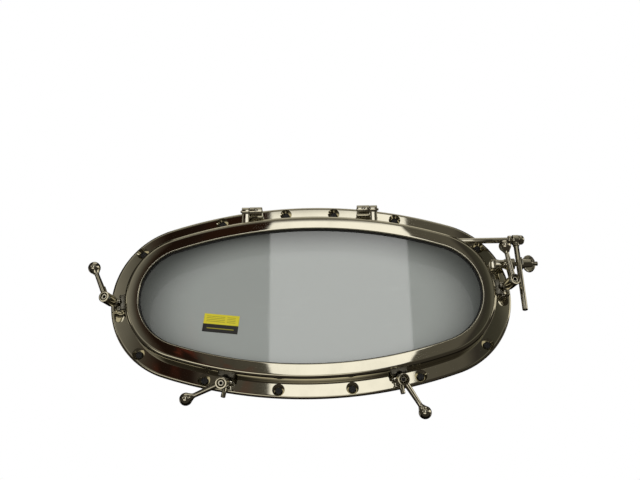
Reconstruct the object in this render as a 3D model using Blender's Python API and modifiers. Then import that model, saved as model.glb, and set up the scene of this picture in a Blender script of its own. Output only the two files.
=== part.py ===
"""Opening porthole: oval stainless frame, top-hinged opening ring with a tinted pane, four swing-bolt dogs
and a sliding stay with a wing nut.

The model is laid out flat, in the porthole's own drawing axes: X to the right, Y up, Z out of the hull towards
the cabin, with the origin in the middle of the flange's back face. The empty "installed" turns the whole
drawing upright, so that in the world the cabin side faces -Y and +Z is up.
"""
import math

import bmesh
import bpy
from mathutils import Matrix, Vector

# ---- driving dimensions, in metres ---------------------------------------------------------------------------
MM = 0.001
FLANGE_HALF_WIDTH = 209.0 * MM
FLANGE_HALF_HEIGHT = 106.0 * MM
END_RADIUS = 86.0 * MM          # the round ends of the flange's oval
END_STEPS = 24                  # facets along each round end
SIDE_STEPS = 8                  # facets along each long flat arc
FLANGE_THICKNESS = 4.0 * MM
SPIGOT_DEPTH = 45.0 * MM
RING_OUTER = 17.0 * MM          # offsets inward from the flange's edge
RING_INNER = 31.8 * MM
RING_BACK = 4.6 * MM            # heights above the flange's back face
RING_FACE = 18.5 * MM
PANE_OFFSET = 26.6 * MM
PANE_BACK = 7.9 * MM
PANE_FRONT = 13.9 * MM
GAP = 0.3 * MM                  # between pieces that touch
ROUND = 18                      # sides of a round piece
SMALL = 12                      # sides of a pin or a bore

SCREW_HOLE_RADIUS = 3.4 * MM
COUNTERSINK_RADIUS = 6.3 * MM
HOLE_OFFSET = 8.2 * MM
HOLES_TOP = (-179, -95, -26, 26, 92, 179)
HOLES_BOTTOM = (-176, -108, -33, 41, 110, 180)

HINGE_Y = 96.5 * MM
HINGE_Z = 15.0 * MM
KNUCKLE_RADIUS = 4.6 * MM
HINGE_PIN_RADIUS = 1.4 * MM

DOG_PIVOT_OFFSET = 10.0 * MM
DOG_PIVOT_Z = 7.0 * MM
DOG_REST_LEAN = math.radians(17)
DOG_CLAMPED_LEAN = math.radians(-9)
BOLT_RADIUS = 3.0 * MM
BARREL_RADIUS = 5.8 * MM
WASHER_FROM = 13.7 * MM         # distances along the bolt from its pivot, at rest
BARREL_FROM = 15.2 * MM
BARREL_TO = 31.2 * MM
LEVER_HEIGHT = 27.2 * MM
LEVER_LENGTH = 38.0 * MM
BALL_RADIUS = 6.6 * MM
# name, x (or height on the round ends) of the pivot, side, bearing of the lever in the drawing, rest nose
DOGS = (
    ("left", -5.5, "end", 115.4, False),
    ("right", 4.5, "end", 98.2, False),
    ("lower_left", -85.0, "bottom", 203.0, True),
    ("lower_right", 88.0, "bottom", -57.3, True),
)

STAY_ARM_Y = 57.5 * MM
STAY_ARM_Z = 14.5 * MM
STAY_ROD_X = 217.6 * MM
STAY_ROD_RADIUS = 2.8 * MM
STAY_ROD_LENGTH = 81.0 * MM
STUD_Y = 31.5 * MM
STUD_Z = 11.3 * MM
ROD_AT_STUD_Z = 16.9 * MM

STEEL = ((0.42, 0.39, 0.35, 1.0), 0.12, 1.0)
SATIN_STEEL = ((0.50, 0.48, 0.45, 1.0), 0.28, 1.0)
BLACK_RUBBER = ((0.015, 0.015, 0.016, 1.0), 0.7, 0.0)
TINTED_PANE = ((0.20, 0.22, 0.21, 1.0), 0.05, 0.0)
LABEL_PAPER = ((0.75, 0.68, 0.05, 1.0), 0.6, 0.0)


# ---- scene, collections and axes -----------------------------------------------------------------------------
for old in list(bpy.context.scene.objects):
    bpy.data.objects.remove(old)

parts = bpy.data.collections.new("opening_porthole")
cutters = bpy.data.collections.new("cutters")
bpy.context.scene.collection.children.link(parts)
bpy.context.scene.collection.children.link(cutters)


def make_material(name, look):
    """A Principled BSDF with a base colour, a roughness and a metallic value."""
    colour, roughness, metallic = look
    material = bpy.data.materials.new(name)
    material.use_nodes = True
    shader = material.node_tree.nodes["Principled BSDF"]
    shader.inputs["Base Color"].default_value = colour
    shader.inputs["Roughness"].default_value = roughness
    shader.inputs["Metallic"].default_value = metallic
    return material


def make_empty(name, parent=None, location=(0, 0, 0), rotation=(0, 0, 0)):
    """An axis for the pieces that sit on it or turn about it."""
    empty = bpy.data.objects.new(name, None)
    empty.empty_display_size = 0.01
    parts.objects.link(empty)
    empty.parent = parent
    empty.location = location
    empty.rotation_euler = rotation
    return empty


installed = make_empty("installed", rotation=(math.pi / 2, 0, 0))
hinge_at = Vector((0, HINGE_Y, HINGE_Z))
door_axis = make_empty("door_hinge_axis", installed, hinge_at)


# ---- building blocks -----------------------------------------------------------------------------------------
def add_object(name, mesh, parent, look, origin=(0, 0, 0), cutter=False):
    """Link a mesh as a named part, or as a hidden cutter, under its axis. The mesh is in drawing axes."""
    obj = bpy.data.objects.new(name, mesh)
    (cutters if cutter else parts).objects.link(obj)
    obj.parent = parent
    obj.location = -Vector(origin)
    if cutter:
        obj.hide_render = True
        obj.display_type = "WIRE"
    else:
        mesh.materials.append(make_material(name, look))
    return obj


def finish(bm, name, smooth=35):
    """Turn a bmesh into a mesh with its faces outward and its round faces shaded smooth."""
    bmesh.ops.recalc_face_normals(bm, faces=bm.faces)
    mesh = bpy.data.meshes.new(name)
    bm.to_mesh(mesh)
    bm.free()
    mesh.shade_smooth()
    mesh.set_sharp_from_angle(angle=math.radians(smooth))
    return mesh


def box_mesh(name, low, high, bevel=0.0):
    """A box between two corners, its edges rounded by bevel."""
    bm = bmesh.new()
    bmesh.ops.create_cube(bm, size=1.0)
    low, high = Vector(low), Vector(high)
    bmesh.ops.scale(bm, vec=high - low, verts=bm.verts)
    bmesh.ops.translate(bm, vec=(low + high) / 2, verts=bm.verts)
    if bevel:
        bmesh.ops.bevel(bm, geom=bm.edges[:], offset=bevel, segments=1, affect="EDGES")
    return finish(bm, name)


TURN_TO = {"X": Matrix.Rotation(math.pi / 2, 4, "Y"), "Y": Matrix.Rotation(-math.pi / 2, 4, "X"),
           "Z": Matrix.Identity(4)}


def cylinder_mesh(name, radius, start, end, axis="Z", centre=(0, 0, 0), sides=ROUND):
    """A capped cylinder along one axis, from start to end, about a centre line through centre."""
    bm = bmesh.new()
    bmesh.ops.create_cone(bm, cap_ends=True, segments=sides, radius1=radius, radius2=radius, depth=end - start)
    bmesh.ops.translate(bm, vec=(0, 0, (start + end) / 2), verts=bm.verts)
    bmesh.ops.transform(bm, matrix=Matrix.Translation(centre) @ TURN_TO[axis], verts=bm.verts)
    return finish(bm, name)


def turned_mesh(name, profile, axis="Z", centre=(0, 0, 0), sides=ROUND, spun=None):
    """A turned solid: (radius, height) points run down the outer side and, where bored, back up the bore.

    The profile is screwed once round its axis, evaluated and turned to lie along the wanted axis or, with
    spun, by a matrix of its own.
    """
    bored = min(radius for radius, _ in profile) > 0
    mesh = bpy.data.meshes.new(name)
    edges = [(i, i + 1) for i in range(len(profile) - 1)]
    if bored:
        edges.append((len(profile) - 1, 0))
    mesh.from_pydata([(radius, 0, height) for radius, height in profile], edges, [])
    blank = bpy.data.objects.new(name + "_blank", mesh)
    cutters.objects.link(blank)
    screw = blank.modifiers.new("turn", "SCREW")
    screw.steps = screw.render_steps = sides
    screw.use_merge_vertices = True
    screw.merge_threshold = 0.00001
    evaluated = blank.evaluated_get(bpy.context.evaluated_depsgraph_get())
    bm = bmesh.new()
    bm.from_mesh(bpy.data.meshes.new_from_object(evaluated))
    bpy.data.objects.remove(blank)
    bmesh.ops.remove_doubles(bm, verts=bm.verts, dist=0.00001)
    matrix = Matrix.Translation(centre) @ (TURN_TO[axis] if spun is None else spun)
    bmesh.ops.transform(bm, matrix=matrix, verts=bm.verts)
    return finish(bm, name)


def boolean(obj, tool, operation="DIFFERENCE"):
    """Cut or join a hidden tool object into a part with the exact solver."""
    modifier = obj.modifiers.new(tool.name, "BOOLEAN")
    modifier.operation = operation
    modifier.object = tool
    modifier.solver = "EXACT"
    return modifier


# ---- the oval ------------------------------------------------------------------------------------------------
# Four tangent arcs: the round ends about (+-END_CENTRE, 0) and the long sides about (0, -+SIDE_CENTRE).
END_CENTRE = FLANGE_HALF_WIDTH - END_RADIUS
SIDE_RADIUS = ((END_CENTRE ** 2 + FLANGE_HALF_HEIGHT ** 2 - END_RADIUS ** 2)
               / (2 * (FLANGE_HALF_HEIGHT - END_RADIUS)))
SIDE_CENTRE = SIDE_RADIUS - FLANGE_HALF_HEIGHT
END_ANGLE = math.atan2(SIDE_CENTRE, END_CENTRE)


def spin_round_oval(bm, geometry):
    """Spin geometry that stands at the lower end of the right-hand arc once round the oval."""
    arcs = (
        ((END_CENTRE, 0), 2 * END_ANGLE, END_STEPS),
        ((0, -SIDE_CENTRE), math.pi - 2 * END_ANGLE, SIDE_STEPS),
        ((-END_CENTRE, 0), 2 * END_ANGLE, END_STEPS),
        ((0, SIDE_CENTRE), math.pi - 2 * END_ANGLE, SIDE_STEPS),
    )
    for centre, angle, steps in arcs:
        spun = bmesh.ops.spin(bm, geom=geometry, cent=(*centre, 0), axis=(0, 0, 1), angle=angle, steps=steps)
        geometry = spun["geom_last"]
    bmesh.ops.remove_doubles(bm, verts=bm.verts, dist=0.00002)


def oval_start(offset, height):
    """The point at the lower end of the right-hand arc, offset inward from the flange's edge."""
    radius = END_RADIUS - offset
    return Vector((END_CENTRE + radius * math.cos(END_ANGLE), -radius * math.sin(END_ANGLE), height))


def oval_ring_mesh(name, profile):
    """A closed (offset, height) profile carried round the oval."""
    bm = bmesh.new()
    verts = [bm.verts.new(oval_start(offset, height)) for offset, height in profile]
    edges = [bm.edges.new((verts[i - 1], verts[i])) for i in range(len(verts))]
    spin_round_oval(bm, verts + edges)
    return finish(bm, name)


def oval_plate_mesh(name, offset, low, high):
    """A flat oval plate between two heights."""
    bm = bmesh.new()
    spin_round_oval(bm, [bm.verts.new(oval_start(offset, low))])
    face = bmesh.ops.contextual_create(bm, geom=bm.edges[:])["faces"]
    lifted = bmesh.ops.extrude_face_region(bm, geom=face)["geom"]
    upper = [part for part in lifted if isinstance(part, bmesh.types.BMVert)]
    bmesh.ops.translate(bm, vec=(0, 0, high - low), verts=upper)
    return finish(bm, name)


def on_side(x, offset):
    """Height above the middle line of the upper side arc at x, offset inward from the flange's edge."""
    end_half = END_RADIUS - offset
    if abs(x) > END_CENTRE + end_half * math.cos(END_ANGLE):
        return math.sqrt(end_half ** 2 - (abs(x) - END_CENTRE) ** 2)
    return math.sqrt((SIDE_RADIUS - offset) ** 2 - x ** 2) - SIDE_CENTRE


def arc(centre_offset, centre_height, radius, start, end, count):
    """Points of a profile along an arc, angles in degrees from the inward direction."""
    angles = [math.radians(start + (end - start) * i / count) for i in range(count + 1)]
    return [(centre_offset + radius * math.cos(a), centre_height + radius * math.sin(a)) for a in angles]


# ---- main frame: flange with a rounded edge, spigot, screw holes and dog pockets -----------------------------
spigot_inner, spigot_outer = 31.8 * MM, 28.6 * MM
edge_round = FLANGE_THICKNESS * 2 / 3
frame_profile = arc(edge_round, FLANGE_THICKNESS / 3, edge_round, 210, 90, 5)
frame_profile += [(spigot_inner, FLANGE_THICKNESS), (spigot_inner, -SPIGOT_DEPTH), (spigot_outer, -SPIGOT_DEPTH),
                  (spigot_outer, -1.5 * MM), (27.1 * MM, 0)]
main_frame = add_object("main_frame", oval_ring_mesh("main_frame", frame_profile), installed, STEEL)


def screw_hole_mesh(name, x, y):
    """One countersunk hole: a straight drill with a cone on top, as a single turned cutter."""
    over = 1.0 * MM
    cone_depth = COUNTERSINK_RADIUS - SCREW_HOLE_RADIUS
    profile = [(0, FLANGE_THICKNESS + over), (COUNTERSINK_RADIUS + over, FLANGE_THICKNESS + over),
               (SCREW_HOLE_RADIUS, FLANGE_THICKNESS - cone_depth), (SCREW_HOLE_RADIUS, -over), (0, -over)]
    return turned_mesh(name, profile, centre=(x, y, 0), sides=SMALL)


hole_spots = [(x * MM, on_side(x * MM, HOLE_OFFSET)) for x in HOLES_TOP]
hole_spots += [(x * MM, -on_side(x * MM, HOLE_OFFSET)) for x in HOLES_BOTTOM]
for number, (hole_x, hole_y) in enumerate(hole_spots, 1):
    cutter_name = f"screw_hole_cutter_{number:02d}"
    hole = add_object(cutter_name, screw_hole_mesh(cutter_name, hole_x, hole_y), installed, None, cutter=True)
    boolean(main_frame, hole)

gasket_profile = [(20.1 * MM, 4.3 * MM), (20.1 * MM, 5.5 * MM), (20.9 * MM, 5.9 * MM), (23.1 * MM, 5.9 * MM),
                  (23.9 * MM, 5.5 * MM), (23.9 * MM, 4.3 * MM)]
add_object("frame_gasket", oval_ring_mesh("frame_gasket", gasket_profile), installed, BLACK_RUBBER)

# ---- opening ring with its pane, seals and retaining ring ----------------------------------------------------
shoulder = 3.9 * MM
ring_profile = [(RING_OUTER, RING_BACK)]
ring_profile += arc(RING_OUTER + shoulder, RING_FACE - shoulder, shoulder, 180, 90, 4)
ring_profile += [(29.4 * MM, RING_FACE), (31.1 * MM, 17.7 * MM), (RING_INNER, 16.6 * MM), (RING_INNER, 15.2 * MM),
                 (26.0 * MM, 15.2 * MM), (26.0 * MM, RING_BACK), (24.2 * MM, RING_BACK), (24.2 * MM, 6.6 * MM),
                 (18.2 * MM, 6.6 * MM), (18.2 * MM, RING_BACK)]
add_object("door_ring", oval_ring_mesh("door_ring", ring_profile), door_axis, STEEL, hinge_at)

seal_profile = [(26.3 * MM, 14.2 * MM), (26.3 * MM, 14.9 * MM), (33.2 * MM, 14.9 * MM), (33.2 * MM, 14.2 * MM)]
add_object("glazing_seal", oval_ring_mesh("glazing_seal", seal_profile), door_axis, BLACK_RUBBER, hinge_at)

pane = oval_plate_mesh("window_pane", PANE_OFFSET, PANE_BACK, PANE_FRONT)
add_object("window_pane", pane, door_axis, TINTED_PANE, hinge_at)

retainer_profile = [(26.3 * MM, 4.9 * MM), (26.3 * MM, 7.6 * MM), (31.6 * MM, 7.6 * MM), (31.6 * MM, 5.6 * MM),
                    (30.9 * MM, 4.9 * MM)]
retainer = oval_ring_mesh("retaining_ring", retainer_profile)
add_object("retaining_ring", retainer, door_axis, SATIN_STEEL, hinge_at)

label_mesh = box_mesh("pane_label", (-18.2 * MM, -9.7 * MM, 0), (18.2 * MM, 9.7 * MM, 0.25 * MM))
label_mesh.transform(Matrix.Translation((-91.5 * MM, -29.5 * MM, PANE_FRONT + 0.15 * MM))
                     @ Matrix.Rotation(math.radians(-6.5), 4, "Z"))
add_object("pane_label", label_mesh, door_axis, LABEL_PAPER, hinge_at)

# Everything fixed to the ring's outer wall is cut back to follow it, with a gap.
clearance_mesh = oval_plate_mesh("ring_clearance", RING_OUTER - GAP, -10 * MM, 40 * MM)
ring_clearance = add_object("ring_clearance", clearance_mesh, installed, None, cutter=True)

# ---- hinges --------------------------------------------------------------------------------------------------
BLOCK_FROM, BLOCK_TO = 51.0 * MM, 64.7 * MM
LUG_FROM, LUG_TO = 65.0 * MM, 72.8 * MM
PIN_BORE = HINGE_PIN_RADIUS + GAP

for side, sign in (("left", -1), ("right", 1)):
    def across(a, b):
        """The two x limits of a hinge piece on this side, in rising order."""
        return sorted((sign * a, sign * b))

    block_low, block_high = across(BLOCK_FROM, BLOCK_TO)
    lug_low, lug_high = across(LUG_FROM, LUG_TO)
    bore_low, bore_high = across(45.0 * MM, 80.0 * MM)
    bore_mesh = cylinder_mesh(f"hinge_bore_{side}", PIN_BORE, bore_low, bore_high, "X", hinge_at, SMALL)
    bore = add_object(f"hinge_bore_{side}", bore_mesh, installed, None, cutter=True)

    block_mesh = cylinder_mesh(f"hinge_block_{side}", KNUCKLE_RADIUS, block_low, block_high, "X", hinge_at)
    block = add_object(f"hinge_block_{side}", block_mesh, installed, STEEL)
    foot_low = (block_low + 0.2 * MM, HINGE_Y - 4.1 * MM, FLANGE_THICKNESS + GAP)
    foot_high = (block_high - 0.2 * MM, HINGE_Y + 4.1 * MM, HINGE_Z)
    foot_mesh = box_mesh(f"hinge_foot_{side}", foot_low, foot_high, 0.5 * MM)
    boolean(block, add_object(f"hinge_foot_{side}", foot_mesh, installed, None, cutter=True), "UNION")
    boolean(block, bore)

    screw_x = sign * 58.0 * MM
    socket_mesh = cylinder_mesh(f"set_screw_bore_{side}", 1.9 * MM, HINGE_Z, HINGE_Z + 8 * MM,
                                centre=(screw_x, HINGE_Y, 0), sides=SMALL)
    boolean(block, add_object(f"set_screw_bore_{side}", socket_mesh, installed, None, cutter=True))
    grub_mesh = cylinder_mesh(f"set_screw_{side}", 1.6 * MM, HINGE_Z + 1.8 * MM, HINGE_Z + 4.5 * MM,
                              centre=(screw_x, HINGE_Y, 0), sides=SMALL)
    grub = add_object(f"set_screw_{side}", grub_mesh, installed, SATIN_STEEL)
    key_mesh = cylinder_mesh(f"set_screw_key_{side}", 1.0 * MM, HINGE_Z + 3.0 * MM, HINGE_Z + 6 * MM,
                             centre=(screw_x, HINGE_Y, 0), sides=6)
    boolean(grub, add_object(f"set_screw_key_{side}", key_mesh, installed, None, cutter=True))

    pin_low, pin_high = across(50.4 * MM, 74.4 * MM)
    pin_mesh = cylinder_mesh(f"hinge_pin_{side}", HINGE_PIN_RADIUS, pin_low, pin_high, "X", hinge_at, SMALL)
    add_object(f"hinge_pin_{side}", pin_mesh, installed, SATIN_STEEL)

    lug_mesh = cylinder_mesh(f"hinge_lug_{side}", KNUCKLE_RADIUS - 0.2 * MM, lug_low, lug_high, "X", hinge_at)
    lug = add_object(f"hinge_lug_{side}", lug_mesh, door_axis, STEEL, hinge_at)
    leg_low = (lug_low + 0.2 * MM, HINGE_Y - 18.0 * MM, HINGE_Z - 4.2 * MM)
    leg_high = (lug_high - 0.2 * MM, HINGE_Y, HINGE_Z + 2.2 * MM)
    leg_mesh = box_mesh(f"hinge_leg_{side}", leg_low, leg_high, 0.5 * MM)
    boolean(lug, add_object(f"hinge_leg_{side}", leg_mesh, installed, None, cutter=True), "UNION")
    boolean(lug, ring_clearance)
    boolean(lug, bore)

# ---- dogs: lug and pin on the frame, eye bolt, washer and handle, slotted ear on the ring --------------------
EYE_RADIUS = 4.0 * MM
EYE_HALF = 3.0 * MM
CHEEK_IN, CHEEK_OUT = 3.4 * MM, 6.4 * MM
CHEEK_RADIUS = 4.2 * MM
DOG_PIN_RADIUS = 1.5 * MM
FLANGE_TOP_FROM_PIVOT = FLANGE_THICKNESS - DOG_PIVOT_Z
EAR_TOP, EAR_UNDER = 11.15 * MM, 6.15 * MM
EAR_TIP = -0.6 * MM
EAR_HALF = 8.5 * MM
SLOT_HALF = 3.4 * MM


def dog_place(where, side):
    """Pivot point of a dog and the bearing of the outward direction there, in the drawing."""
    if side == "end":
        sign = -1 if where < 0 else 1
        radius = END_RADIUS - DOG_PIVOT_OFFSET
        bearing = math.asin(where * MM / radius)
        if sign < 0:
            bearing = math.pi - bearing
        centre = (sign * END_CENTRE, 0)
    else:
        radius = SIDE_RADIUS - DOG_PIVOT_OFFSET
        bearing = -math.pi / 2 + math.asin(where * MM / radius)
        centre = (0, SIDE_CENTRE)
    point = (centre[0] + radius * math.cos(bearing), centre[1] + radius * math.sin(bearing), DOG_PIVOT_Z)
    return point, bearing


def lever_mesh(name, turn):
    """Round tapering lever with a conical neck and a ball, along the direction turn from the bolt's axis."""
    neck_start, neck_end = 29.0 * MM, 33.5 * MM
    profile = [(0, 3.0 * MM), (2.9 * MM, 3.0 * MM), (2.3 * MM, neck_start)]
    touch = math.acos((LEVER_LENGTH - neck_end) / BALL_RADIUS)
    first = math.degrees(touch)
    for i in range(8):
        angle = math.radians(first + (180 - first) * i / 7)
        profile.append((BALL_RADIUS * math.sin(angle), LEVER_LENGTH - BALL_RADIUS * math.cos(angle)))
    profile[-1] = (0, LEVER_LENGTH + BALL_RADIUS)
    profile.reverse()
    lying = Matrix.Rotation(turn, 4, "Z") @ Matrix.Rotation(math.pi / 2, 4, "Y")
    return turned_mesh(name, profile, centre=(0, 0, LEVER_HEIGHT), sides=SMALL, spun=lying)


def fin_mesh(name, turn):
    """Short gusset under the root of the lever."""
    half_thickness, depth, rise = 1.2 * MM, 7.5 * MM, 2.0 * MM
    low = (3.9 * MM, -half_thickness, LEVER_HEIGHT - depth)
    mesh = box_mesh(name, low, (17.0 * MM, half_thickness, LEVER_HEIGHT - 1 * MM))
    for vertex in mesh.vertices:
        if vertex.co.x > 10 * MM and vertex.co.z < LEVER_HEIGHT - depth / 2:
            vertex.co.z += rise
    mesh.transform(Matrix.Rotation(turn, 4, "Z"))
    return mesh


for dog, where, side, lever_bearing, has_nose in DOGS:
    pivot, outward = dog_place(where, side)
    # Local axes of a dog: X outward, Y along the pin, Z along the bolt.
    base = make_empty(f"dog_base_{dog}", installed, pivot, (0, 0, outward))
    swing = make_empty(f"dog_swing_{dog}", base, (0, 0, 0), (0, DOG_REST_LEAN, 0))
    seat = make_empty(f"dog_seat_{dog}", base, (0, 0, 0), (0, DOG_CLAMPED_LEAN, 0))

    def tool(kind, mesh_of, *sizes, parent=base, **options):
        """A hidden cutter or join tool of this dog, placed on one of its axes."""
        name = f"{kind}_{dog}"
        return add_object(name, mesh_of(name, *sizes, **options), parent, None, cutter=True)

    pocket_low = (-5.2 * MM, -SLOT_HALF - 0.1 * MM, FLANGE_TOP_FROM_PIVOT - 1.6 * MM)
    boolean(main_frame, tool("dog_pocket", box_mesh, pocket_low, (5.2 * MM, SLOT_HALF + 0.1 * MM, 0)))

    # Lug: two rounded cheeks joined by an outer bridge, which on the lower dogs carries a nose.
    foot = FLANGE_TOP_FROM_PIVOT + GAP
    lug_name = f"dog_lug_{dog}"
    lug_mesh = box_mesh(lug_name, (-CHEEK_RADIUS, -CHEEK_OUT, foot), (8.2 * MM, CHEEK_OUT, 0.2 * MM), 0.4 * MM)
    lug = add_object(lug_name, lug_mesh, base, STEEL)
    boolean(lug, tool("dog_cheeks", cylinder_mesh, CHEEK_RADIUS - 0.1 * MM, -CHEEK_OUT + 0.05 * MM,
                      CHEEK_OUT - 0.05 * MM, "Y", (0, 0, 0), ROUND), "UNION")
    boolean(lug, tool("dog_trim", box_mesh, (-9 * MM, -9 * MM, -8 * MM), (12 * MM, 9 * MM, foot + 0.02 * MM)))
    boolean(lug, tool("dog_slot", box_mesh, (-8 * MM, -CHEEK_IN, -6 * MM), (5.4 * MM, CHEEK_IN, 8 * MM)))
    if has_nose:
        boolean(lug, tool("dog_nose", cylinder_mesh, 2.4 * MM, 6.4 * MM, 16.0 * MM, "X",
                          (0, 0, foot + 2.45 * MM), SMALL), "UNION")
    boolean(lug, tool("dog_pin_bore", cylinder_mesh, DOG_PIN_RADIUS + GAP, -9 * MM, 9 * MM, "Y", (0, 0, 0), SMALL))

    head, shank, rim = 2.4 * MM, DOG_PIN_RADIUS, CHEEK_OUT + GAP
    pin_profile = [(0, rim + 0.9 * MM), (head, rim + 0.9 * MM), (head, rim), (shank, rim),
                   (shank, -rim), (head, -rim), (head, -rim - 0.9 * MM), (0, -rim - 0.9 * MM)]
    add_object(f"dog_pin_{dog}", turned_mesh(f"dog_pin_{dog}", pin_profile, "Y", sides=SMALL), base, SATIN_STEEL)

    # Eye bolt: a flat-sided eye on a round shank with a hexagon socket in its tip.
    bolt_name = f"eye_bolt_{dog}"
    eye = cylinder_mesh(bolt_name, EYE_RADIUS, -EYE_HALF, EYE_HALF, "Y", (0, 0, 0), ROUND)
    bolt = add_object(bolt_name, eye, swing, SATIN_STEEL)
    boolean(bolt, tool("bolt_shank", cylinder_mesh, BOLT_RADIUS - 0.02 * MM, 1.0 * MM, 30.2 * MM, "Z",
                       (0, 0, 0), ROUND, parent=swing), "UNION")
    boolean(bolt, tool("bolt_eye_bore", cylinder_mesh, DOG_PIN_RADIUS + GAP, -6 * MM, 6 * MM, "Y",
                       (0, 0, 0), SMALL, parent=swing))
    boolean(bolt, tool("bolt_socket", cylinder_mesh, 1.9 * MM, 27.6 * MM, 32 * MM, "Z", (0, 0, 0), 6,
                       parent=swing))

    bore_radius = BOLT_RADIUS + GAP
    washer_top = WASHER_FROM + 1.2 * MM
    washer_profile = [(5.4 * MM, washer_top), (5.4 * MM, WASHER_FROM), (bore_radius, WASHER_FROM),
                      (bore_radius, washer_top)]
    add_object(f"washer_{dog}", turned_mesh(f"washer_{dog}", washer_profile), swing, SATIN_STEEL)

    # Handle: a long nut with a recessed face, a round lever with a ball, and a gusset under the lever.
    handle_name = f"handle_{dog}"
    edge = 0.6 * MM
    barrel_profile = [(0, BARREL_TO), (BARREL_RADIUS - edge, BARREL_TO), (BARREL_RADIUS, BARREL_TO - edge),
                      (BARREL_RADIUS, BARREL_FROM + edge), (BARREL_RADIUS - edge, BARREL_FROM), (0, BARREL_FROM)]
    handle = add_object(handle_name, turned_mesh(handle_name, barrel_profile), swing, STEEL)
    lever_turn = math.radians(lever_bearing) - outward
    boolean(handle, tool("lever", lever_mesh, lever_turn, parent=swing), "UNION")
    boolean(handle, tool("fin", fin_mesh, lever_turn, parent=swing), "UNION")
    recess_profile = [(0, BARREL_TO + 2 * MM), (4.4 * MM, BARREL_TO + 2 * MM), (4.4 * MM, BARREL_TO - 2.4 * MM),
                      (bore_radius, BARREL_TO - 3.2 * MM), (bore_radius, BARREL_FROM - 2 * MM),
                      (0, BARREL_FROM - 2 * MM)]
    boolean(handle, tool("barrel_bore", turned_mesh, recess_profile, parent=swing))

    # Ear: a plate square to the clamped bolt, with an open slot that the bolt drops into.
    ear_name = f"door_ear_{dog}"
    ear_mesh = box_mesh(ear_name, (-16 * MM, -EAR_HALF, EAR_UNDER), (EAR_TIP, EAR_HALF, EAR_TOP), 0.6 * MM)
    ear = add_object(ear_name, ear_mesh, door_axis, STEEL)
    ear.matrix_local = (Matrix.Translation(Vector(pivot) - hinge_at) @ Matrix.Rotation(outward, 4, "Z")
                        @ Matrix.Rotation(DOG_CLAMPED_LEAN, 4, "Y"))
    boolean(ear, tool("ear_slot_end", cylinder_mesh, SLOT_HALF, EAR_UNDER - 3 * MM, EAR_TOP + 3 * MM, "Z",
                      (0, 0, 0), ROUND, parent=seat))
    boolean(ear, ring_clearance)

# ---- stay: arm, collar and cap on the ring, knuckle and rod, bracket with a stud and a wing nut on the frame --
arm_axis = Vector((0, STAY_ARM_Y, STAY_ARM_Z))
knuckle_at = Vector((STAY_ROD_X, STAY_ARM_Y, STAY_ARM_Z))
arm_profile = [(0, 224.0 * MM), (2.0 * MM, 224.0 * MM), (2.3 * MM, 223.6 * MM), (2.3 * MM, 213.3 * MM),
               (3.0 * MM, 213.3 * MM), (3.0 * MM, 140.0 * MM), (0, 140.0 * MM)]
arm = add_object("stay_arm", turned_mesh("stay_arm", arm_profile, "X", arm_axis), door_axis, STEEL, hinge_at)
boolean(arm, ring_clearance)


def stay_ring_mesh(name, start, end, radius, bore, edge):
    """A bored ring on the stay arm with rounded corners."""
    profile = [(radius - edge, end), (radius, end - edge), (radius, start + edge), (radius - edge, start),
               (bore, start), (bore, end)]
    return turned_mesh(name, profile, "X", arm_axis, ROUND)


collar = stay_ring_mesh("stay_collar", 209.7 * MM, 213.1 * MM, 4.8 * MM, 3.3 * MM, 0.5 * MM)
add_object("stay_collar", collar, door_axis, STEEL, hinge_at)
cap_radius, cap_from, cap_round = 5.0 * MM, 221.4 * MM, 3.4 * MM
cap_profile = [(0, 223.6 * MM + cap_round)]
cap_profile += [(cap_radius * math.sin(math.radians(a)), 223.6 * MM + cap_round * math.cos(math.radians(a)))
                for a in (25, 50, 72, 90)]
cap_profile += [(cap_radius, cap_from), (2.65 * MM, cap_from), (2.65 * MM, 224.4 * MM), (0, 224.4 * MM)]
cap = turned_mesh("stay_end_cap", cap_profile, "X", arm_axis, ROUND)
add_object("stay_end_cap", cap, door_axis, STEEL, hinge_at)

# The knuckle turns on the arm; the rod hangs from it towards the stud, at rest just in front of it.
rod_drop = Vector((0, STUD_Y - STAY_ARM_Y, ROD_AT_STUD_Z - STAY_ARM_Z))
rod_tilt = math.atan2(rod_drop.z, -rod_drop.y)
knuckle_axis = make_empty("stay_knuckle_axis", door_axis, knuckle_at - hinge_at, (math.pi / 2 - rod_tilt, 0, 0))
# On this axis local +Z runs down the rod.
body_profile = [(4.7 * MM, 3.5 * MM), (5.4 * MM, 2.8 * MM), (5.4 * MM, -2.8 * MM), (4.7 * MM, -3.5 * MM),
                (2.65 * MM, -3.5 * MM), (2.65 * MM, 3.5 * MM)]
knuckle = add_object("stay_knuckle", turned_mesh("stay_knuckle", body_profile, "X"), knuckle_axis, STEEL)
neck_mesh = cylinder_mesh("knuckle_neck", 3.5 * MM, 3.6 * MM, 7.4 * MM, sides=ROUND)
boolean(knuckle, add_object("knuckle_neck", neck_mesh, knuckle_axis, None, cutter=True), "UNION")
rod_profile = [(0, STAY_ROD_LENGTH), (STAY_ROD_RADIUS - 0.5 * MM, STAY_ROD_LENGTH),
               (STAY_ROD_RADIUS, STAY_ROD_LENGTH - 0.5 * MM), (STAY_ROD_RADIUS, 7.7 * MM), (0, 7.7 * MM)]
add_object("stay_rod", turned_mesh("stay_rod", rod_profile, sides=SMALL), knuckle_axis, STEEL)

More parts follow.
